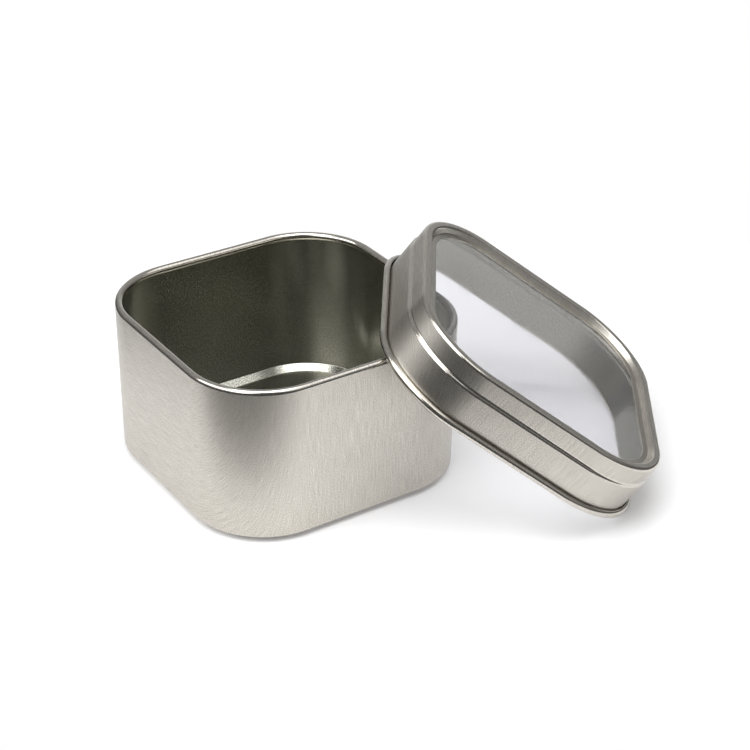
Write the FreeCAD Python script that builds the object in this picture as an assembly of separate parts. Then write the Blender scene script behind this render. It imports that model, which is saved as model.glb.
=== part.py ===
import FreeCAD, Part
import math
import os

from FreeCAD import Placement, Rotation, Vector

# A square seamless tin with a slip lid that has a clear window. Millimetres and degrees, +Z up.
# The origin is the centre of the tin's base, on the table. The lid is taken off: its low edge
# stands on the table and its high edge leans over one corner of the tin.

# Tin, drawn from one sheet, sizes outside
TIN_WIDTH = 70.0
TIN_HEIGHT = 40.5
CORNER_RADIUS = 19.6
SHEET = 0.25
WALL_DRAFT = 0.32           # each side is this much further in at the base than at the rim
RIM_CURL_RADIUS = 1.0       # the rim is rolled inwards
RIM_CURL_TURN = 235.0

# Bevel between the tin's wall and the flat base that it stands on
BEVEL_RISE = 1.42
BEVEL_ANGLE = 36.0          # up from the base
BASE_BEND_RADIUS = 0.8
WALL_BEND_RADIUS = 0.4

# Slip lid, drawn from the same sheet, heights up from its curled lower edge
SLIP_GAP = 0.33             # between the tin's wall and the lid's skirt when the lid is on
LID_CURL_RADIUS = 0.92      # the lower edge is rolled outwards
LID_CURL_GAP = 0.35         # between the curl's cut edge and the skirt
SKIRT_HEIGHT = 9.2
SHOULDER_RISE = 1.1
STOP_BITE = 0.1             # how far the shoulder reaches in over the tin's rim, to stop the lid
BAND_HEIGHT = 3.9
BEAD_RADIUS = 0.73
BEAD_LAND = 1.1
BEAD_INNER_RADIUS = 0.6
BEAD_SLOPE = 60.0
LIP_BEND_RADIUS = 0.35
LIP_DROP = 1.5              # from the bead's top down to the flat lip round the window
LIP_WIDTH = 1.25

# Clear pane, a shallow tray pressed up under the lip
PANE_SHEET = 0.3
PANE_FIT = 0.05             # room between the pane and the lid, above it and round it
PANE_RIM_HEIGHT = 2.0
PANE_BEND_RADIUS = 0.6

# How the lid leans
LEAN_DIRECTION = 54.45      # the way the lid slopes down, turned from +X towards +Y
LEAN_OVERLAP = 17.14        # how far the tin's corner reaches in under the lid
LEAN_SHIFT = -1.29          # the lid's centre, sideways of the line it slopes along
REST_GAP = 0.3              # left between the lid's curl and the tin's rim

LID_HALF = TIN_WIDTH / 2 + SLIP_GAP + SHEET
LID_CORNER_RADIUS = CORNER_RADIUS + SLIP_GAP + SHEET
LID_CURL_INSIDE = LID_CURL_RADIUS - SHEET
SHOULDER_STEP = SLIP_GAP + STOP_BITE
BAND_HALF = LID_HALF - SHOULDER_STEP
LID_TOP = SKIRT_HEIGHT + SHOULDER_RISE + BAND_HEIGHT + BEAD_RADIUS
PANE_TOP = LID_TOP - LIP_DROP - SHEET - PANE_FIT
PANE_HALF = BAND_HALF - SHEET - PANE_FIT


def on_circle(centre, radius, angle):
    """The point of a circle in the XZ plane at an angle from +X towards +Z."""
    turn = math.radians(angle)
    return centre + Vector(math.cos(turn), 0, math.sin(turn)) * radius


def bend_edge(centre, radius, start, turn):
    """An arc in the XZ plane from a start angle through a turn."""
    ends = [on_circle(centre, radius, start + turn * share) for share in (0, 0.5, 1)]
    return Part.Arc(*ends).toShape()


def bent_sheet(start, heading, moves, thickness):
    """The section of a bent sheet, as a face in the XZ plane.

    One face of the sheet is followed from start: a ("run", length) goes straight on, and a
    ("bend", radius, turn) goes round an arc, to the left for a positive turn. The sheet lies
    on the left of that path, so a left bend is tighter on its other face and a right bend wider.
    """
    here = start
    path, other_side = [], []
    for move in moves:
        left = on_circle(Vector(), 1, heading + 90)
        if move[0] == "run":
            there = here + on_circle(Vector(), move[1], heading)
            path.append(Part.makeLine(here, there))
            other_side.append(Part.makeLine(here + left * thickness, there + left * thickness))
        else:
            radius, turn = move[1:]
            side = math.copysign(1, turn)
            centre = here + left * radius * side
            first = heading - 90 * side
            there = on_circle(centre, radius, first + turn)
            path.append(bend_edge(centre, radius, first, turn))
            other_side.append(bend_edge(centre, radius - thickness * side, first, turn))
            heading += turn
        here = there
    last_left = on_circle(Vector(), thickness, heading + 90)
    last_cut = Part.makeLine(here, here + last_left)
    first_cut = Part.makeLine(other_side[0].firstVertex().Point, path[0].firstVertex().Point)
    outline = path + [last_cut] + other_side[::-1] + [first_cut]
    return Part.Face(Part.Wire(Part.__sortEdges__(outline)))


def rounded_square(half, radius, height):
    """The closed outline of a rounded square, level, at a height."""
    flat = half - radius
    edges = []
    for quarter in range(4):
        corner = Part.makeCircle(radius, Vector(flat, flat, height), Vector(0, 0, 1), 0, 90)
        side = Part.makeLine(Vector(half, -flat, height), Vector(half, flat, height))
        for edge in (side, corner):
            edges.append(edge.rotated(Vector(), Vector(0, 0, 1), 90 * quarter))
    return Part.Wire(edges)


def plate(half, radius, bottom, thickness):
    """A level rounded-square plate."""
    return Part.Face(rounded_square(half, radius, bottom)).extrude(Vector(0, 0, thickness))


def carried_round(section, half, radius):
    """A section on the +X side, carried round a rounded square as four sides and four corners."""
    flat = half - radius
    side = section.translated(Vector(0, -flat, 0)).extrude(Vector(0, 2 * flat, 0))
    corner = section.translated(Vector(0, flat, 0)).revolve(Vector(flat, flat, 0), Vector(0, 0, 1), 90)
    pieces = []
    for quarter in range(4):
        for piece in (side, corner):
            pieces.append(piece.rotated(Vector(), Vector(0, 0, 1), 90 * quarter))
    return pieces


def joined(pieces):
    """One solid from pieces that meet face to face."""
    return pieces[0].multiFuse(pieces[1:]).removeSplitter().Solids[0]


def s_bend(drop, angle, radius, other_radius):
    """The straight run between two opposite bends that together drop by drop, and their whole reach."""
    turn = math.radians(angle)
    bends = radius + other_radius
    run = (drop - bends * (1 - math.cos(turn))) / math.sin(turn)
    return run, bends * math.sin(turn) + run * math.cos(turn)


def tin_body():
    """The tin: flat base, bevel, wall with its slight draft, and the rim rolled inwards."""
    lean = math.atan2(WALL_DRAFT, TIN_HEIGHT)
    bevel = math.radians(BEVEL_ANGLE)
    bevel_run = (BEVEL_RISE - BASE_BEND_RADIUS * (1 - math.cos(bevel))) / math.sin(bevel)
    bevel_reach = BASE_BEND_RADIUS * math.sin(bevel) + bevel_run * math.cos(bevel)
    wall_bend_height = WALL_BEND_RADIUS * (math.cos(bevel) - math.sin(lean))
    wall_bend_reach = WALL_BEND_RADIUS * (math.cos(lean) - math.sin(bevel))
    rim_bend_height = RIM_CURL_RADIUS * (1 + math.sin(lean))
    rim_bend_reach = RIM_CURL_RADIUS * (1 - math.cos(lean))
    wall = (TIN_HEIGHT - BEVEL_RISE - wall_bend_height - rim_bend_height) / math.cos(lean)
    bends_reach = bevel_reach + wall_bend_reach + rim_bend_reach
    base_half = TIN_WIDTH / 2 - bends_reach - wall * math.sin(lean)
    lean_angle = math.degrees(lean)
    section = bent_sheet(
        Vector(base_half, 0, 0),
        0,
        [
            ("bend", BASE_BEND_RADIUS, BEVEL_ANGLE),
            ("run", bevel_run),
            ("bend", WALL_BEND_RADIUS, 90 - lean_angle - BEVEL_ANGLE),
            ("run", wall),
            ("bend", RIM_CURL_RADIUS, RIM_CURL_TURN + lean_angle),
        ],
        SHEET,
    )
    base_corner = CORNER_RADIUS - (TIN_WIDTH / 2 - base_half)
    base = plate(base_half, base_corner, 0, SHEET)
    return joined(carried_round(section, TIN_WIDTH / 2, CORNER_RADIUS) + [base])


def lid_frame():
    """The lid, upright about its own axis: outward curl, skirt, shoulder, band, bead and window lip."""
    cut_edge = math.degrees(math.acos((LID_CURL_GAP - LID_CURL_INSIDE) / LID_CURL_RADIUS))
    curl_centre = Vector(LID_HALF + LID_CURL_INSIDE, 0, LID_CURL_RADIUS)
    shoulder_turn = 2 * math.degrees(math.atan2(SHOULDER_STEP, SHOULDER_RISE))
    shoulder_radius = SHOULDER_RISE / (2 * math.sin(math.radians(shoulder_turn)))
    slope_run = s_bend(LIP_DROP, BEAD_SLOPE, BEAD_INNER_RADIUS, LIP_BEND_RADIUS)[0]
    section = bent_sheet(
        on_circle(curl_centre, LID_CURL_INSIDE, cut_edge),
        cut_edge - 90,
        [
            ("bend", LID_CURL_INSIDE, -(cut_edge + 180)),
            ("run", SKIRT_HEIGHT - LID_CURL_RADIUS),
            ("bend", shoulder_radius, shoulder_turn),
            ("bend", shoulder_radius, -shoulder_turn),
            ("run", BAND_HEIGHT),
            ("bend", BEAD_RADIUS, 90),
            ("run", BEAD_LAND),
            ("bend", BEAD_INNER_RADIUS, BEAD_SLOPE),
            ("run", slope_run),
            ("bend", LIP_BEND_RADIUS, -BEAD_SLOPE),
            ("run", LIP_WIDTH),
        ],
        SHEET,
    )
    return joined(carried_round(section, LID_HALF, LID_CORNER_RADIUS))


def window_pane():
    """The clear tray, in the lid's own frame: a flat pane with a short rim turned down inside the band."""
    section = bent_sheet(
        Vector(PANE_HALF, 0, PANE_TOP - PANE_RIM_HEIGHT),
        90,
        [("run", PANE_RIM_HEIGHT - PANE_BEND_RADIUS), ("bend", PANE_BEND_RADIUS, 90)],
        PANE_SHEET,
    )
    corner = LID_CORNER_RADIUS - (LID_HALF - PANE_HALF)
    pieces = carried_round(section, PANE_HALF, corner)
    flat = plate(PANE_HALF - PANE_BEND_RADIUS, corner - PANE_BEND_RADIUS, PANE_TOP - PANE_SHEET, PANE_SHEET)
    return joined(pieces + [flat])


def lid_at(tilt):
    """Where the lid is when it slopes by tilt: its curl on the table and the tin's corner under it."""
    slope = math.radians(tilt)
    way = math.radians(LEAN_DIRECTION)
    downhill = Vector(math.cos(way), math.sin(way), 0)
    sideways = Vector(-math.sin(way), math.cos(way), 0)
    flat = TIN_WIDTH / 2 - CORNER_RADIUS
    tin_reach = flat * (abs(downhill.x) + abs(downhill.y)) + CORNER_RADIUS
    along = tin_reach - LEAN_OVERLAP + LID_HALF * math.cos(slope)
    curl_low = (LID_HALF + LID_CURL_INSIDE) * math.sin(slope) - LID_CURL_RADIUS * math.cos(slope)
    centre = downhill * along + sideways * LEAN_SHIFT + Vector(0, 0, LID_CURL_RADIUS + curl_low)
    turned = Rotation(Vector(0, 0, 1), LEAN_DIRECTION) * Rotation(Vector(0, 1, 0), tilt)
    return Placement(centre, turned)


def leaning_lid():
    """The slope at which the lid's curl comes to rest on the tin's rim.

    The two curls are tubes round their centre lines, so the room between them is the distance
    between the lines less both radii. The slope is let down until that is REST_GAP.
    """
    rim_half = TIN_WIDTH / 2 - RIM_CURL_RADIUS
    rim_line = rounded_square(rim_half, CORNER_RADIUS - RIM_CURL_RADIUS, TIN_HEIGHT - RIM_CURL_RADIUS)
    curl_half = LID_HALF + LID_CURL_INSIDE
    curl_line = rounded_square(curl_half, LID_CORNER_RADIUS + LID_CURL_INSIDE, LID_CURL_RADIUS)
    close_enough = 1e-5
    raised_start = 10
    tilt = math.degrees(math.atan2(TIN_HEIGHT, 2 * LID_HALF)) + raised_start
    spare = TIN_HEIGHT
    while abs(spare) > close_enough:
        placed = curl_line.transformed(lid_at(tilt).toMatrix(), True)
        spare = placed.distToShape(rim_line)[0] - LID_CURL_RADIUS - RIM_CURL_RADIUS - REST_GAP
        tilt -= math.degrees(spare / (2 * curl_half))
    return lid_at(tilt)


def main():
    lean = leaning_lid().toMatrix()
    nodes = {
        "tin_body": tin_body(),
        "lid_frame": lid_frame().transformed(lean, True),
        "window_pane": window_pane().transformed(lean, True),
    }
    os.makedirs("parts", exist_ok=True)
    for name, shape in nodes.items():
        shape.exportStep(f"parts/{name}.step")
        box = shape.optimalBoundingBox()
        low = [round(value, 2) for value in (box.XMin, box.YMin, box.ZMin)]
        high = [round(value, 2) for value in (box.XMax, box.YMax, box.ZMax)]
        print(f"{name}: valid {shape.isValid()}, {shape.Volume:.1f} mm3, from {low} to {high}")


main()
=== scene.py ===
import math

import bpy
import numpy as np
from mathutils import Matrix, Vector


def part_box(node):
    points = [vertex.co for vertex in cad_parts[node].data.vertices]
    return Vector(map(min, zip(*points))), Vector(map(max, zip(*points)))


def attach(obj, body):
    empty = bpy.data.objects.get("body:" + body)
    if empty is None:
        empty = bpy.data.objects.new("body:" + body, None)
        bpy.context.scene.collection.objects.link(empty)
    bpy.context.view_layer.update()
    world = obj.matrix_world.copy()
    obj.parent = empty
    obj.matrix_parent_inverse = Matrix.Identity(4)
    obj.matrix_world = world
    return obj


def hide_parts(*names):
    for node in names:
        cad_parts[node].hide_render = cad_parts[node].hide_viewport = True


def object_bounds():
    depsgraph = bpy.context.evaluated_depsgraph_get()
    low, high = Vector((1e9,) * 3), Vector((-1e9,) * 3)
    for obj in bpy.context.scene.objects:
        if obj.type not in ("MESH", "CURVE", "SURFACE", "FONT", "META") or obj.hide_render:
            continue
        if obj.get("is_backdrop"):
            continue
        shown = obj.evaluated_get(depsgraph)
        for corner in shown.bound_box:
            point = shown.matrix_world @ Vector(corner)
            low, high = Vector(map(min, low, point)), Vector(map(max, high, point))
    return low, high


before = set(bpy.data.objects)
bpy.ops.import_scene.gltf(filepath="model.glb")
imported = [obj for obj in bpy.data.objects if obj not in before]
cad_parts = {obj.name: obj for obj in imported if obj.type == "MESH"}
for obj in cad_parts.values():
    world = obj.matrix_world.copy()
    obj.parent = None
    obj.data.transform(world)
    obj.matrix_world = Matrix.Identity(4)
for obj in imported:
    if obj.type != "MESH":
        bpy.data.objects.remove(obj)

# A square seamless tin of brushed tinplate, and its slip lid with a clear window, taken off and
# leaning on the tin's corner. Metres in Blender; the sheet's own sizes are written in millimetres.

MM = 0.001
CAD_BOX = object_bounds()

# Tin, the same sizes as its solid
TIN_HALF = float(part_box("tin_body")[1][0]) / MM
TIN_HEIGHT = float(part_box("tin_body")[1][2]) / MM
CORNER_RADIUS = 19.6
SHEET = 0.25
WALL_DRAFT = 0.32
RIM_CURL_RADIUS = 1.0
RIM_CURL_TURN = 235.0
BEVEL_RISE = 1.42
BEVEL_ANGLE = 36.0
BASE_BEND_RADIUS = 0.8
WALL_BEND_RADIUS = 0.4

# Slip lid, heights up from its curled lower edge
SLIP_GAP = 0.33
LID_CURL_RADIUS = 0.92
LID_CURL_GAP = 0.35
SKIRT_HEIGHT = 9.2
SHOULDER_RISE = 1.1
STOP_BITE = 0.1
BAND_HEIGHT = 3.9
BEAD_RADIUS = 0.73
BEAD_LAND = 1.1
BEAD_INNER_RADIUS = 0.6
BEAD_SLOPE = 60.0
LIP_BEND_RADIUS = 0.35
LIP_DROP = 1.5
LIP_WIDTH = 1.25
LID_HALF = TIN_HALF + SLIP_GAP + SHEET
LID_CORNER_RADIUS = CORNER_RADIUS + SLIP_GAP + SHEET
LID_CURL_INSIDE = LID_CURL_RADIUS - SHEET
SHOULDER_STEP = SLIP_GAP + STOP_BITE
BAND_HALF = LID_HALF - SHOULDER_STEP
LID_TOP = SKIRT_HEIGHT + SHOULDER_RISE + BAND_HEIGHT + BEAD_RADIUS

# Clear pane, a shallow tray under the lip
PANE_SHEET = 0.3
PANE_FIT = 0.05
PANE_RIM_HEIGHT = 2.0
PANE_BEND_RADIUS = 0.6
PANE_TOP = LID_TOP - LIP_DROP - SHEET - PANE_FIT
PANE_HALF = BAND_HALF - SHEET - PANE_FIT
PANE_CORNER_RADIUS = LID_CORNER_RADIUS - (LID_HALF - PANE_HALF)

# Steps of the meshes: along a section in mm and degrees, across a cut edge as shares of the sheet,
# and round the pieces as counts for each side and corner
END_STEP = 0.12
RUN_STEP = 2.6
BEND_STEP = 7.0
CUT_STEPS = np.array([[0.12], [0.5], [0.88]])
TIN_STEPS = 64
LID_STEPS = 52
PANE_STEPS = 40
LID_SHRINK = 0.9998


# Shapes

def bent_path(start, heading, moves):
    """One face of a bent sheet, followed in the plane of its section.

    A ("run", length) goes straight on; a ("bend", radius, turn) goes round an arc, left for a
    positive turn. A run has points close to both ends and about every RUN_STEP between, a bend one
    every BEND_STEP or less. Returns the points, the unit normals on the left of the way, the
    lengths gone, and 1 for each point in a bend or 0 in a run.
    """
    here = np.array(start, dtype=float)
    points, lefts, lengths, bends = [], [], [], []
    gone = 0.0
    for move in moves:
        way = math.radians(heading)
        if move[0] == "run":
            length = move[1]
            near = min(END_STEP, length / 4)
            steps = np.linspace(near, length - near, max(2, int(round(length / RUN_STEP)) + 1))
            steps = np.concatenate([[0.0], steps, [length]])
            ahead = np.array([math.cos(way), math.sin(way)])
            points.append(here + steps[:, None] * ahead)
            lefts.append(np.tile([-ahead[1], ahead[0]], (len(steps), 1)))
            lengths.append(gone + steps)
            bends.append(np.zeros(len(steps)))
            gone += length
        else:
            radius, turn = move[1:]
            side = math.copysign(1.0, turn)
            count = max(3, int(math.ceil(abs(turn) / BEND_STEP)))
            ways = way + np.radians(turn) * np.linspace(0, 1, count + 1)
            left = np.stack([-np.sin(ways), np.cos(ways)], 1)
            points.append(here + radius * side * (left[0] - left))
            lefts.append(left)
            lengths.append(gone + radius * abs(math.radians(turn)) * np.linspace(0, 1, count + 1))
            bends.append(np.ones(count + 1))
            gone += radius * abs(math.radians(turn))
            heading += turn
        here = points[-1][-1]
    points, lefts, lengths, bends = map(np.concatenate, (points, lefts, lengths, bends))
    fresh = np.concatenate([[True], np.diff(lengths) > 1e-9])
    return points[fresh], lefts[fresh], lengths[fresh], bends[fresh]


def round_stations(per_stretch):
    """Places round a rounded square, as unit vectors: 4 sides and 4 corners, each in equal steps.

    A point at a distance x from the middle of a side, on a rounded square whose straight sides are
    2 * flat long, lies at core * flat + outward * (x - flat): core runs along the sides of a unit
    square and stands at its corners, and outward turns through the corners.
    """
    step = np.arange(per_stretch) / per_stretch
    core, outward = [], []
    for quarter in range(4):
        turn = quarter * math.pi / 2
        across = np.array([math.cos(turn), math.sin(turn)])
        along = np.array([-across[1], across[0]])
        core.append(across + (2 * step - 1)[:, None] * along)
        outward.append(np.tile(across, (per_stretch, 1)))
        core.append(np.tile(across + along, (per_stretch, 1)))
        angle = turn + step * math.pi / 2
        outward.append(np.stack([np.cos(angle), np.sin(angle)], 1))
    return np.concatenate(core), np.concatenate(outward)


def carried_round(reach, height, flat, stations):
    """A section carried round a rounded square: core * flat + outward * (reach - flat), at height.

    reach, height and flat are arrays over the section's rows, or over stations and rows where the
    section changes on its way round.
    """
    core, outward = stations
    reach, height, flat = np.broadcast_arrays(
        *np.atleast_2d(reach, height, flat), np.zeros((len(core), 1))
    )[:3]
    level = core[:, None] * flat[..., None] + outward[:, None] * (reach - flat)[..., None]
    return np.concatenate([level, height[..., None]], 2)


def skin(name, grid, blank, ends, bends, finish_rows):
    """A mesh object over a grid of points, stations by rows, closed round the stations.

    ends is "poles" where the first and the last row are single points, and "joined" where the last
    row goes on into the first. blank is the place of each point in the flat blank, in metres, and
    becomes the UV map. bends says for each row how far it is rolled, and becomes the attribute
    "burnish"; finish_rows gives each row's material. The grid's rows run so that stations x rows
    points outwards.
    """
    turns, rows = grid.shape[:2]
    place = np.arange(turns * rows).reshape(turns, rows)
    if ends == "poles":
        place[:, 0] = place[0, 0]
        place[:, -1] = place[0, -1]
    onward = np.roll(place, -1, 0)
    up = np.roll(place, -1, 1)
    both = np.roll(onward, -1, 1)
    faces = np.stack([place, onward, both, up], 2)
    if ends == "poles":
        faces = faces[:, :-1]
    finishes = np.broadcast_to(finish_rows[:faces.shape[1]], faces.shape[:2]).ravel()
    faces = faces.reshape(-1, 4)
    used = np.unique(faces)
    renumber = np.zeros(turns * rows, dtype=np.int32)
    renumber[used] = np.arange(len(used))
    faces = renumber[faces]
    kept = faces != np.roll(faces, 1, 1)
    sizes = kept.sum(1)
    corners = faces[kept]
    mesh = bpy.data.meshes.new(name)
    mesh.vertices.add(len(used))
    mesh.vertices.foreach_set("co", grid.reshape(-1, 3)[used].astype(np.float32).ravel())
    mesh.loops.add(len(corners))
    mesh.loops.foreach_set("vertex_index", corners.astype(np.int32))
    mesh.polygons.add(len(sizes))
    starts = np.concatenate([[0], np.cumsum(sizes)[:-1]]).astype(np.int32)
    mesh.polygons.foreach_set("loop_start", starts)
    mesh.polygons.foreach_set("use_smooth", np.ones(len(sizes), dtype=bool))
    mesh.polygons.foreach_set("material_index", finishes.astype(np.int32))
    mesh.update(calc_edges=True)
    layer = mesh.uv_layers.new(name="blank")
    layer.uv.foreach_set("vector", blank.reshape(-1, 2)[used][corners].astype(np.float32).ravel())
    burnish = mesh.attributes.new("burnish", "FLOAT", "POINT")
    burnish.data.foreach_set("value", np.tile(bends, turns)[used].astype(np.float32))
    mesh.validate()
    piece = bpy.data.objects.new(name, mesh)
    bpy.context.scene.collection.objects.link(piece)
    return piece


def worn_edge(stations, seed, ripple, notches, depth):
    """How far a cut edge strays from its line round the rim, in degrees of its curl.

    Sines of 5 to 60 waves a round, weaker as they get shorter, and a few narrow notches, each a
    bell curve.
    """
    dice = np.random.default_rng(seed)
    round_share = np.arange(stations) / stations
    waves = np.arange(5, 60)
    size = dice.normal(size=len(waves)) / waves ** 0.6
    phase = dice.uniform(0, 2 * math.pi, len(waves))
    stray = np.sin(2 * math.pi * waves * round_share[:, None] + phase) @ size
    stray *= ripple / np.abs(stray).max()
    for place in notches:
        off = (round_share - place + 0.5) % 1 - 0.5
        stray -= depth * np.exp(-((off * stations / 2.2) ** 2))
    return stray


def turned_about(reach, height, centre, degrees):
    """Section points turned about a centre, by an angle for each station and row."""
    angle = np.radians(degrees)
    dx, dz = reach - centre[0], height - centre[1]
    return (
        centre[0] + dx * np.cos(angle) - dz * np.sin(angle),
        centre[1] + dx * np.sin(angle) + dz * np.cos(angle),
    )


def s_bend(drop, angle, radius, other_radius):
    """The straight run between two opposite bends that together drop by drop."""
    turn = math.radians(angle)
    return (drop - (radius + other_radius) * (1 - math.cos(turn))) / math.sin(turn)


def tin():
    """The tin's one sheet, both faces: flat base, bevel, wall and rolled rim.

    The rows start at the middle of the underside, run out along the underside, up the outside,
    round the curl to its cut edge, and back down the inside to the middle of the floor.
    """
    stations = round_stations(TIN_STEPS)
    lean = math.atan2(WALL_DRAFT, TIN_HEIGHT)
    bevel = math.radians(BEVEL_ANGLE)
    bevel_run = (BEVEL_RISE - BASE_BEND_RADIUS * (1 - math.cos(bevel))) / math.sin(bevel)
    bevel_reach = BASE_BEND_RADIUS * math.sin(bevel) + bevel_run * math.cos(bevel)
    wall_bend_height = WALL_BEND_RADIUS * (math.cos(bevel) - math.sin(lean))
    wall_bend_reach = WALL_BEND_RADIUS * (math.cos(lean) - math.sin(bevel))
    rim_bend_height = RIM_CURL_RADIUS * (1 + math.sin(lean))
    rim_bend_reach = RIM_CURL_RADIUS * (1 - math.cos(lean))
    wall = (TIN_HEIGHT - BEVEL_RISE - wall_bend_height - rim_bend_height) / math.cos(lean)
    base_half = TIN_HALF - bevel_reach - wall_bend_reach - rim_bend_reach - wall * math.sin(lean)
    moves = [
        ("bend", BASE_BEND_RADIUS, BEVEL_ANGLE),
        ("run", bevel_run),
        ("bend", WALL_BEND_RADIUS, 90 - math.degrees(lean) - BEVEL_ANGLE),
        ("run", wall),
        ("bend", RIM_CURL_RADIUS, RIM_CURL_TURN + math.degrees(lean)),
    ]
    path, left, gone, bent = bent_path((base_half, 0), 0, moves)
    bent[path[:, 1] < BEVEL_RISE] = 1.0  # the bevel is rubbed smooth all over
    flat = TIN_HALF - CORNER_RADIUS
    base_share = np.array([0.0, 0.02, 0.25, 0.5, 0.75, 0.96, 0.995])
    curl_length = RIM_CURL_RADIUS * math.radians(RIM_CURL_TURN)
    curled = np.clip((gone - gone[-1] + curl_length) / curl_length, 0, None)

    def face_rows(thickness):
        """One face from the middle of the base to the cut edge, thickness above the other."""
        base = np.outer(base_share, [base_half, 0, flat, base_half, 0, 0]) + [0, thickness, 0, 0, 0, 0]
        sheet = path + left * thickness
        return np.concatenate([
            base,
            np.column_stack([sheet, np.full(len(path), flat), base_half + gone, curled, bent]),
        ])

    outside, inside = face_rows(0.0), face_rows(SHEET)
    cut = outside[-1] + CUT_STEPS * (inside[-1] - outside[-1])
    reach, height, flat, blank, curled, bent = np.concatenate([outside, cut, inside[::-1]]).T
    # the inside rows take the second finish, the lacquered one whose darker colour is painted shade
    inner = np.arange(len(reach)) >= len(outside) + len(cut)

    centre = (TIN_HALF - RIM_CURL_RADIUS, TIN_HEIGHT - RIM_CURL_RADIUS)
    stray = worn_edge(8 * TIN_STEPS, 5, 5.0, (0.43, 0.585, 0.63, 0.72), 13.0)
    curl_reach, curl_height = turned_about(reach, height, centre, stray[:, None] * curled)
    grid = carried_round(curl_reach, curl_height, flat, stations) * MM
    spread = carried_round(blank, 0 * blank, flat, stations)[..., 1::-1] * MM
    return skin("tin", grid, spread, "poles", bent, inner)


def lid_place():
    """The lid's rest place as a 4x4 array, read from the pane's solid.

    Its largest face gives the lid's axis, the way that axis leans gives the downhill and the level
    axes, and the solid's extent along the three gives the middle.
    """
    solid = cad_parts["window_pane"].data
    area = np.zeros(len(solid.polygons))
    facing = np.zeros(3 * len(solid.polygons))
    points = np.zeros(3 * len(solid.vertices))
    solid.polygons.foreach_get("area", area)
    solid.polygons.foreach_get("normal", facing)
    solid.vertices.foreach_get("co", points)
    axis = facing.reshape(-1, 3)[area.argmax()]
    axis = axis * np.sign(axis[2]) / np.linalg.norm(axis)
    level = np.cross([0, 0, 1], axis)
    level = level / np.linalg.norm(level)
    downhill = np.cross(level, axis)
    turned = np.column_stack([downhill, level, axis])
    along = points.reshape(-1, 3) @ turned
    middle = (along.min(0) + along.max(0)) / 2
    middle[2] = along[:, 2].max() - PANE_TOP * MM
    place = np.eye(4)
    place[:3, :3] = turned
    place[:3, 3] = turned @ middle
    return place


def put(grid, place):
    """A grid of points moved to a place: turned, then shifted."""
    return grid @ place[:3, :3].T + place[:3, 3]


def lid(place):
    """The lid's one sheet, both faces: rolled lower edge, skirt, shoulder, band, bead and window lip.

    The rows follow the outside from the curl's cut edge to the lip's, and come back along the
    inside. All of it is a hair small, so that its fine curves stay within the solid's chords.
    """
    stations = round_stations(LID_STEPS)
    cut_edge = math.degrees(math.acos((LID_CURL_GAP - LID_CURL_INSIDE) / LID_CURL_RADIUS))
    centre = np.array([LID_HALF + LID_CURL_INSIDE, LID_CURL_RADIUS])
    edge_turn = math.radians(cut_edge)
    start = centre + LID_CURL_INSIDE * np.array([math.cos(edge_turn), math.sin(edge_turn)])
    shoulder_turn = 2 * math.degrees(math.atan2(SHOULDER_STEP, SHOULDER_RISE))
    shoulder_radius = SHOULDER_RISE / (2 * math.sin(math.radians(shoulder_turn)))
    slope = s_bend(LIP_DROP, BEAD_SLOPE, BEAD_INNER_RADIUS, LIP_BEND_RADIUS)
    moves = [
        ("bend", LID_CURL_INSIDE, -(cut_edge + 180)),
        ("run", SKIRT_HEIGHT - LID_CURL_RADIUS),
        ("bend", shoulder_radius, shoulder_turn),
        ("bend", shoulder_radius, -shoulder_turn),
        ("run", BAND_HEIGHT),
        ("bend", BEAD_RADIUS, 90),
        ("run", BEAD_LAND),
        ("bend", BEAD_INNER_RADIUS, BEAD_SLOPE),
        ("run", slope),
        ("bend", LIP_BEND_RADIUS, -BEAD_SLOPE),
        ("run", LIP_WIDTH),
    ]
    path, left, gone, bent = bent_path(start, cut_edge - 90, moves)
    curl_length = LID_CURL_INSIDE * math.radians(cut_edge + 180)
    share = np.clip(1 - gone / curl_length, 0, 1)
    outside = np.column_stack([path, gone, share, bent])
    inside = np.column_stack([path + left * SHEET, gone, share, bent])
    lip_cut = outside[-1] + CUT_STEPS * (inside[-1] - outside[-1])
    curl_cut = inside[0] + CUT_STEPS * (outside[0] - inside[0])
    reach, height, gone, share, bent = np.concatenate([outside, lip_cut, inside[::-1], curl_cut]).T
    blank = reach[len(outside) - 1] + gone.max() - gone
    # the inside rows, all but the curl, take the lacquered finish, whose darker colour is painted shade
    inner = (np.arange(len(reach)) >= len(outside) + len(lip_cut)) & (share == 0)

    stray = worn_edge(8 * LID_STEPS, 11, 4.0, (0.06, 0.31, 0.9), 7.0)
    curl_reach, curl_height = turned_about(reach, height, centre, stray[:, None] * share)
    flat = LID_HALF - LID_CORNER_RADIUS
    grid = carried_round(curl_reach, curl_height, flat, stations) * MM * LID_SHRINK
    spread = carried_round(blank, 0 * blank, flat, stations)[..., :2] * MM
    return skin("lid", put(grid, place), spread, "joined", bent, inner)


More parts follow.
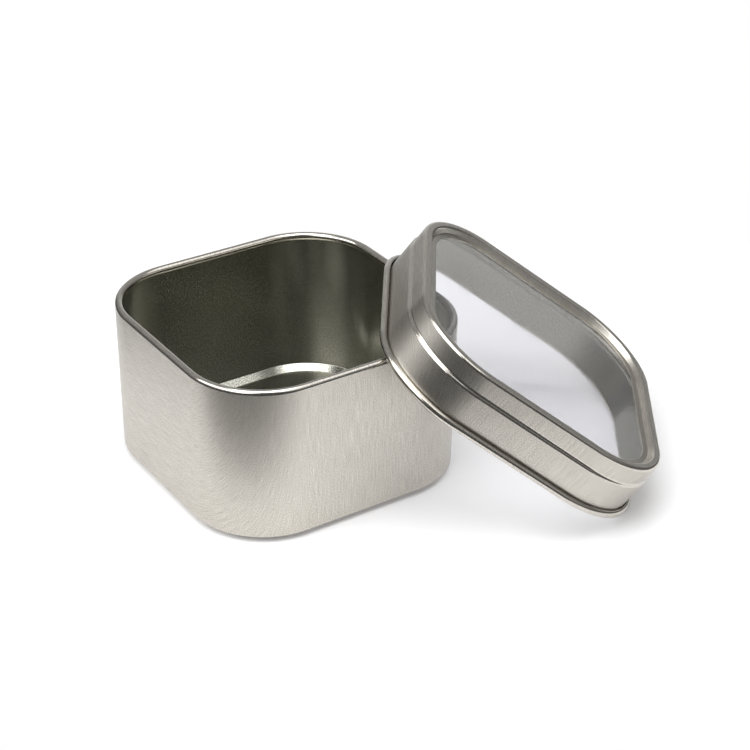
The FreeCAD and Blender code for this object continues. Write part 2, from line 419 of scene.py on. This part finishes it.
def pane(place):
    """The clear tray: a flat pane with a short rim turned down.

    The rows start at the middle of the lower face, run out and down to the cut edge, and come back
    up and in over the upper face.
    """
    stations = round_stations(PANE_STEPS)
    moves = [("run", PANE_RIM_HEIGHT - PANE_BEND_RADIUS), ("bend", PANE_BEND_RADIUS, 90)]
    path, left, gone, _ = bent_path((PANE_HALF, PANE_TOP - PANE_RIM_HEIGHT), 90, moves)
    flat = np.full(len(path), PANE_HALF - PANE_CORNER_RADIUS)
    share = np.array([0.995, 0.97, 0.66, 0.33, 0.02, 0.0])

    def face_rows(thickness):
        """One face from its cut edge up and in to the middle, thickness inside the outer one."""
        edge_rows = np.column_stack([path + left * thickness, flat, gone])
        last = edge_rows[-1]
        level = np.full(len(share), last[1])
        inwards = last[3] + last[0] * (1 - share)
        return np.concatenate([
            edge_rows,
            np.column_stack([share * last[0], level, share * flat[0], inwards]),
        ])

    outside, inside = face_rows(0.0), face_rows(PANE_SHEET)
    cut = inside[0] + CUT_STEPS * (outside[0] - inside[0])
    reach, height, flat, gone = np.concatenate([inside[::-1], cut, outside]).T
    grid = carried_round(reach, height, flat, stations) * MM
    spread = carried_round(gone.max() - gone, 0 * gone, 0 * gone, stations)[..., :2] * MM
    tray = skin("pane", put(grid, place), spread, "poles", 0 * gone, 0 * gone)
    tray.visible_shadow = False  # clear sheet lets the light through
    return tray


# Finishes, with the brushed lines' width, length and height in mm

LINE_WIDTH = 0.17
LINE_LENGTH = 6.0
GRAIN_HEIGHT = 0.02
FLAT_NOISE = {"noise_dimensions": "2D"}


def colour(code):
    """A linear RGBA colour from an sRGB hex code."""
    share = np.array([int(code[i:i + 2], 16) for i in (1, 3, 5)]) / 255
    linear = np.where(share <= 0.04045, share / 12.92, ((share + 0.055) / 1.055) ** 2.4)
    return (*linear.tolist(), 1.0)


def add(tree, kind, settings=None, **inputs):
    """A node with its settings; an input is a value, or the socket that it is linked from.

    Base_Color is the input named Base Color, and _3 the one numbered 3.
    """
    node = tree.nodes.new(kind)
    for key, value in (settings or {}).items():
        setattr(node, key, value)
    for key, value in inputs.items():
        at = node.inputs[int(key[1:])] if key[1:].isdigit() else node.inputs[key.replace("_", " ")]
        if isinstance(value, bpy.types.NodeSocket):
            tree.links.new(value, at)
        else:
            at.default_value = value
    return node


def new_finish(name):
    """An empty material, and the tree to build it in."""
    finish = bpy.data.materials.new(name)
    finish.use_nodes = True
    tree = finish.node_tree
    tree.nodes.clear()
    return finish, tree


def tinplate(name, dark, light, brushed, burnished, lines_share, speck, relief):
    """A tinplate finish: fine lines along the flat blank and fine speckle, rubbed smooth at the bends.

    dark and light are the ends of the sheet's colour, brushed and burnished the roughness of the
    flats and of the bends, lines_share how much of the grain is lines, speck the size of the specks
    in mm, and relief how strongly the grain stands up. The real grain is under 0.1 mm, too fine to
    show, so the lines are drawn LINE_WIDTH wide, and the specks larger than they are.
    """
    finish, tree = new_finish(name)
    place = add(tree, "ShaderNodeUVMap", {"uv_map": "blank"}).outputs[0]
    lines_scale = (1 / (LINE_WIDTH * MM), 1 / (LINE_LENGTH * MM), 1)
    lines_at = add(tree, "ShaderNodeMapping", Vector=place, Scale=lines_scale)
    lines = add(
        tree, "ShaderNodeTexNoise", FLAT_NOISE,
        Vector=lines_at.outputs[0], Scale=1.0, Detail=2.0, Roughness=0.6,
    )
    specks = add(
        tree, "ShaderNodeTexNoise", FLAT_NOISE,
        Vector=place, Scale=1 / (speck * MM), Detail=3.0, Roughness=0.8,
    )
    grain = add(
        tree, "ShaderNodeMix", {"data_type": "FLOAT"},
        _0=lines_share, _2=specks.outputs[0], _3=lines.outputs[0],
    ).outputs[0]
    tone = add(tree, "ShaderNodeMapRange", None, Value=grain, From_Min=0.32, From_Max=0.68)
    base = add(
        tree, "ShaderNodeMix", {"data_type": "RGBA"},
        _0=tone.outputs[0], _6=colour(dark), _7=colour(light),
    )
    ridged = add(
        tree, "ShaderNodeMapRange", None,
        Value=grain, From_Min=0.3, From_Max=0.7, To_Min=brushed + 0.03, To_Max=brushed - 0.03,
    )
    rolled = add(tree, "ShaderNodeAttribute", {"attribute_name": "burnish"})
    rough = add(
        tree, "ShaderNodeMix", {"data_type": "FLOAT"},
        _0=rolled.outputs["Fac"], _2=ridged.outputs[0], _3=burnished,
    )
    bump = add(tree, "ShaderNodeBump", None, Strength=relief, Distance=GRAIN_HEIGHT * MM, Height=grain)
    across = add(tree, "ShaderNodeTangent", {"direction_type": "UV_MAP", "uv_map": "blank"})
    shader = add(
        tree, "ShaderNodeBsdfPrincipled", None,
        Base_Color=base.outputs[2], Metallic=1.0, Roughness=rough.outputs[0], Anisotropic=0.6,
        Normal=bump.outputs[0], Tangent=across.outputs[0],
    )
    add(tree, "ShaderNodeOutputMaterial", None, Surface=shader.outputs[0])
    return finish


def brushed_tinplate():
    """Tinplate: thin cold-rolled steel with a bright tin coat, brushed one way before it was drawn.

    The brushing follows the flat blank, so it stands upright on two sides, lies level on the other
    two and fans round the corners. It gives the eye a soft sheen that is drawn out across the lines.
    """
    return tinplate("brushed tinplate", "#8E8A82", "#ECE7DE", 0.38, 0.14, 0.24, 0.24, 0.12)


def lacquer_and_painted_shade_tinplate():
    """The same sheet on its inner face, under a thin food lacquer.

    It gives the eye a faintly olive and finely speckled face that mirrors softly. Its colour
    is set darker than the outside's as painted shade, for the shade inside the tin and the lid.
    """
    # dark and light ends darker than the brushed outside's: painted shade for the inside of tin and
    # lid; the olive tint is the lacquer's own
    return tinplate("lacquer and painted shade tinplate", "#6F6E65", "#CDCCC2", 0.29, 0.14, 0.0, 0.35, 0.02)


def clear_pet():
    """PET sheet, extruded and pressed to a shallow tray.

    It gives the eye a clear, glossy and faintly cool pane, slightly wavy from the press over 14 mm or
    so, and rubbed in patches of about 5 mm.
    """
    finish, tree = new_finish("clear PET sheet")
    place = add(tree, "ShaderNodeUVMap", {"uv_map": "blank"}).outputs[0]
    rubbed = add(tree, "ShaderNodeTexNoise", FLAT_NOISE, Vector=place, Scale=1 / (5 * MM), Detail=3.0)
    haze = add(
        tree, "ShaderNodeMapRange", None,
        Value=rubbed.outputs[0], From_Min=0.35, From_Max=0.7, To_Min=0.02, To_Max=0.06,
    )
    waves = add(tree, "ShaderNodeTexNoise", FLAT_NOISE, Vector=place, Scale=1 / (14 * MM), Detail=0.0)
    bump = add(tree, "ShaderNodeBump", None, Strength=0.15, Distance=0.05 * MM, Height=waves.outputs[0])
    shader = add(
        tree, "ShaderNodeBsdfPrincipled", None,
        Base_Color=colour("#F6F6FA"), Roughness=haze.outputs[0], IOR=1.57, Transmission_Weight=1.0,
        Normal=bump.outputs[0],
    )
    add(tree, "ShaderNodeOutputMaterial", None, Surface=shader.outputs[0])
    return finish


# Stage, square to the view: paper corners towards the camera and across the view, in metres; lights
# by their angle from the camera's side and height, distance, size and brightness

PAPER_CORNERS = np.array([[0.038, -0.105], [0.14, 0.15], [-0.12, 0.17], [-0.12, -0.105]])
PAPER_DROP = 0.05 * MM
PAPER_LIFT = 0.12
LIGHTS = (
    ("left light", (-54, 48), 0.5, (0.6, 0.3), 2.8),
    ("right light", (65, 68), 0.5, (0.45, 0.45), 1.15),
    ("top light", (0, 82), 0.6, (0.42, 0.42), 3.0),
)
TENT_FOOT, TENT_TOP = 0.12, 0.4
BACKDROP = 0.65
OPENING = 0.1
VIEW_AZIMUTH = math.radians(55.8907)
TOWARDS_CAMERA = np.array([math.sin(VIEW_AZIMUTH), -math.cos(VIEW_AZIMUTH), 0.0])
ACROSS_VIEW = np.array([math.cos(VIEW_AZIMUTH), math.sin(VIEW_AZIMUTH), 0.0])


def way_from_view(azimuth, elevation):
    """A unit vector by its angle from the camera's side, positive to the right, and its height."""
    turn, rise = math.radians(azimuth), math.radians(elevation)
    level = math.cos(turn) * TOWARDS_CAMERA + math.sin(turn) * ACROSS_VIEW
    return math.cos(rise) * level + [0, 0, math.sin(rise)]


def stage_floor():
    """A sheet of white paper under the object: a flat four-sided face, wider on the right.

    The camera and the metal see it a little whiter than its light makes it, shadows and all.
    """
    nearer, right = PAPER_CORNERS[:, :1], PAPER_CORNERS[:, 1:]
    corners = nearer * TOWARDS_CAMERA + right * ACROSS_VIEW - [0, 0, PAPER_DROP]
    mesh = bpy.data.meshes.new("paper")
    mesh.from_pydata(corners.tolist(), [], [(0, 1, 2, 3)])
    floor = bpy.data.objects.new("paper", mesh)
    bpy.context.scene.collection.objects.link(floor)
    finish, tree = new_finish("white paper")
    paper = add(tree, "ShaderNodeBsdfDiffuse", None, Color=colour("#F2F2F3"))
    ray = add(tree, "ShaderNodeLightPath")
    seen = add(
        tree, "ShaderNodeMath", {"operation": "ADD"},
        _0=ray.outputs["Is Camera Ray"], _1=ray.outputs["Is Glossy Ray"],
    )
    lift = add(tree, "ShaderNodeMath", {"operation": "MULTIPLY"}, _0=seen.outputs[0], _1=PAPER_LIFT)
    white = add(tree, "ShaderNodeEmission", None, Color=(1, 1, 1, 1), Strength=lift.outputs[0])
    both = add(tree, "ShaderNodeAddShader", None, _0=paper.outputs[0], _1=white.outputs[0])
    add(tree, "ShaderNodeOutputMaterial", None, Surface=both.outputs[0])
    mesh.materials.append(finish)
    floor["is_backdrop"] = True


def softbox(name, way, distance, size, radiance):
    """A rectangular soft light in a direction from the object, facing it, as bright as radiance."""
    lamp = bpy.data.lights.new(name, "AREA")
    lamp.shape = "RECTANGLE"
    lamp.size, lamp.size_y = size
    lamp.energy = radiance * math.pi * size[0] * size[1]
    light = bpy.data.objects.new(name, lamp)
    right = np.cross([0, 0, 1], way)
    right /= np.linalg.norm(right)
    turned = Matrix.Identity(4)
    turned.col[0][:3], turned.col[1][:3], turned.col[2][:3] = right, np.cross(way, right), way
    turned.translation = way * distance
    light.matrix_world = turned
    light.visible_camera = False
    bpy.context.scene.collection.objects.link(light)


def room():
    """A light tent, by direction: pale above, dark near the level, pale behind, open and dark in front.

    The camera sees it white all over.
    """
    world = bpy.data.worlds.new("light tent")
    world.use_nodes = True
    tree = world.node_tree
    tree.nodes.clear()
    way = add(tree, "ShaderNodeTexCoord").outputs["Generated"]
    height = add(tree, "ShaderNodeSeparateXYZ", None, Vector=way).outputs["Z"]
    smooth = {"interpolation_type": "SMOOTHSTEP"}
    dome = add(
        tree, "ShaderNodeMapRange", smooth,
        Value=height, From_Min=-0.05, From_Max=0.65, To_Min=TENT_FOOT, To_Max=TENT_TOP,
    )
    tone = dome.outputs[0]
    parts = [(TOWARDS_CAMERA, 0.55, 0.82, OPENING), (-TOWARDS_CAMERA, 0.8, 0.97, BACKDROP)]
    for middle, edge, full, brightness in parts:
        facing = add(tree, "ShaderNodeVectorMath", {"operation": "DOT_PRODUCT"}, _0=way, _1=middle)
        share = add(
            tree, "ShaderNodeMapRange", smooth,
            Value=facing.outputs["Value"], From_Min=edge, From_Max=full,
        )
        tone = add(
            tree, "ShaderNodeMix", {"data_type": "FLOAT"},
            _0=share.outputs[0], _2=tone, _3=brightness,
        ).outputs[0]
    ray = add(tree, "ShaderNodeLightPath")
    light = add(tree, "ShaderNodeBackground", None, Color=(1, 1, 1, 1), Strength=tone)
    white = add(tree, "ShaderNodeBackground", None, Color=(1, 1, 1, 1), Strength=1.0)
    both = add(
        tree, "ShaderNodeMixShader", None,
        _0=ray.outputs["Is Camera Ray"], _1=light.outputs[0], _2=white.outputs[0],
    )
    add(tree, "ShaderNodeOutputWorld", None, Surface=both.outputs[0])
    bpy.context.scene.world = world


def camera():
    """The photograph's view: direction, distance, roll and lens from the outlines of tin and lid."""
    elevation, roll = 30.07, math.radians(0.8103)
    distance = 459.447 * MM
    look = np.array([15.0009, 16.0519, 23.5924]) * MM
    focal_pixels, picture_pixels, sensor = 1904.07, 750, 36.0
    back = way_from_view(0, elevation)
    upward = np.cross(back, ACROSS_VIEW)
    right = math.cos(roll) * ACROSS_VIEW + math.sin(roll) * upward
    up = math.cos(roll) * upward - math.sin(roll) * ACROSS_VIEW
    lens = bpy.data.cameras.new("camera")
    lens.sensor_width = sensor
    lens.lens = focal_pixels / picture_pixels * sensor
    lens.clip_start = 0.01
    view = bpy.data.objects.new("camera", lens)
    turned = Matrix.Identity(4)
    turned.col[0][:3], turned.col[1][:3], turned.col[2][:3] = right, up, back
    turned.translation = look + back * distance
    view.matrix_world = turned
    bpy.context.scene.collection.objects.link(view)
    bpy.context.scene.camera = view


def main():
    bpy.context.scene.view_settings.view_transform = "Standard"
    place = lid_place()
    # the lacquered finish for the inner faces is darkened as painted shade
    brushed, lacquer_and_shade, clear = brushed_tinplate(), lacquer_and_painted_shade_tinplate(), clear_pet()
    pieces = [
        (tin(), "tin", "tin_body", "tinplate", [brushed, lacquer_and_shade]),
        (lid(place), "lid", "lid_frame", "tinplate", [brushed, lacquer_and_shade]),
        (pane(place), "lid", "window_pane", "clear_plastic", [clear]),
    ]
    for piece, body, node, slot, finishes in pieces:
        for finish in finishes:
            piece.data.materials.append(finish)
        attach(piece, body)
        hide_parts(node)
    stage_floor()
    room()
    for name, angles, distance, size, radiance in LIGHTS:
        softbox(name, way_from_view(*angles), distance, size, radiance)
    camera()
    box = {"cad": CAD_BOX, "visual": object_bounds()}
    box = {key: [[float(value) for value in corner] for corner in pair] for key, pair in box.items()}


main()
